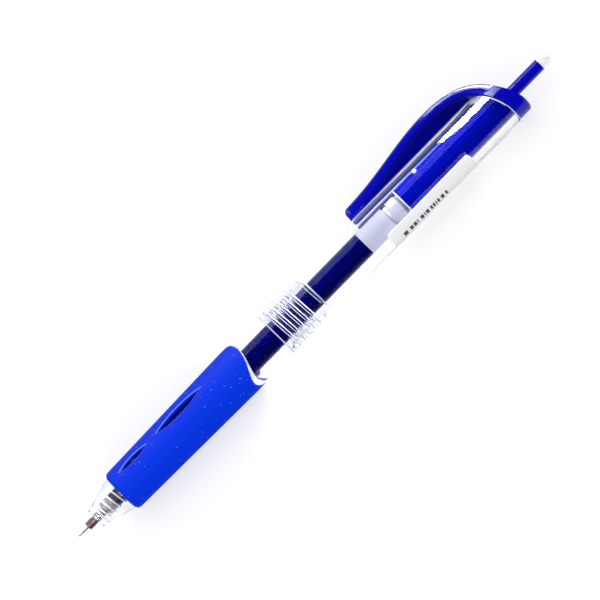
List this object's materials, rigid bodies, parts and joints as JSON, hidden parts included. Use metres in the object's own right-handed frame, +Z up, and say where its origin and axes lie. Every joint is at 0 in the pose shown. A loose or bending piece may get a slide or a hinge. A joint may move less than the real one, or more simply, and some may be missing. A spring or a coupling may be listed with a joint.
{
  "type": "retractable gel pen",
  "caption": "Clear-barrelled retractable gel pen with blue ink, a blue rubber grip with leaf-shaped slots, a blue cap with an arched clip, and a slim push button.",
  "frame": {"origin": "centre of the pen's footprint, on the surface that it lies on", "axes": "+X along the pen towards the push button, +Y towards the side that the clip is on, +Z up"},
  "size_m": [0.1509, 0.0172, 0.012],
  "materials": {
    "clear_plastic": "clear, polished",
    "grip_rubber": "satin",
    "blue_plastic": "glossy",
    "sleeve_plastic": "satin",
    "label_paper": "plain printed sticker",
    "spring_wire": "drawn wire",
    "ball_metal": "polished carbide",
    "point_metal": "turned",
    "holder_plastic": "translucent",
    "tube_plastic": "translucent, milky",
    "ink": "wet",
    "follower": "translucent grease",
    "rotor_plastic": "satin",
    "white_plastic": "translucent"
  },
  "bodies": {
    "rear": {"rear_barrel": "clear_plastic", "cap_clip": "blue_plastic", "guide_sleeve": "sleeve_plastic", "label": "label_paper", "return_spring": "spring_wire"},
    "front": {"front_barrel": "clear_plastic", "grip": "grip_rubber"},
    "refill": {"writing_point": "point_metal", "point_holder": "holder_plastic", "ink_tube": "tube_plastic", "ink": "ink", "ink_follower": "follower"},
    "ball": {"writing_ball": "ball_metal"},
    "rotor": {"latch_rotor": "rotor_plastic"},
    "button": {"push_button": "blue_plastic", "button_plug": "white_plastic"}
  },
  "joints": [
    {"name": "front_screw", "type": "hinge", "parent": "rear", "child": "front", "pos_m": [-0.01, -0.00263, 0.00602], "axis": [-1, 0, 0], "range_deg": [0, 1980]},
    {"name": "button_press", "type": "slide", "parent": "rear", "child": "button", "axis": [-1, 0, 0], "range_m": [-0.0059, 0.0013]},
    {"name": "refill_slide", "type": "slide", "parent": "rear", "child": "refill", "axis": [-1, 0, 0], "range_m": [-0.0059, 0.0013], "deforming": ["return_spring"]},
    {"name": "rotor_turn", "type": "hinge", "parent": "refill", "child": "rotor", "pos_m": [0.032, -0.00263, 0.00602], "axis": [1, 0, 0], "continuous": true},
    {"name": "ball_roll", "type": "hinge", "parent": "refill", "child": "ball", "pos_m": [-0.0752, -0.00263, 0.00602], "axis": [0, 1, 0], "continuous": true}
  ],
  "couplings": [
    {"joint": "refill_slide", "follows": "button_press", "ratio": 1}
  ]
}
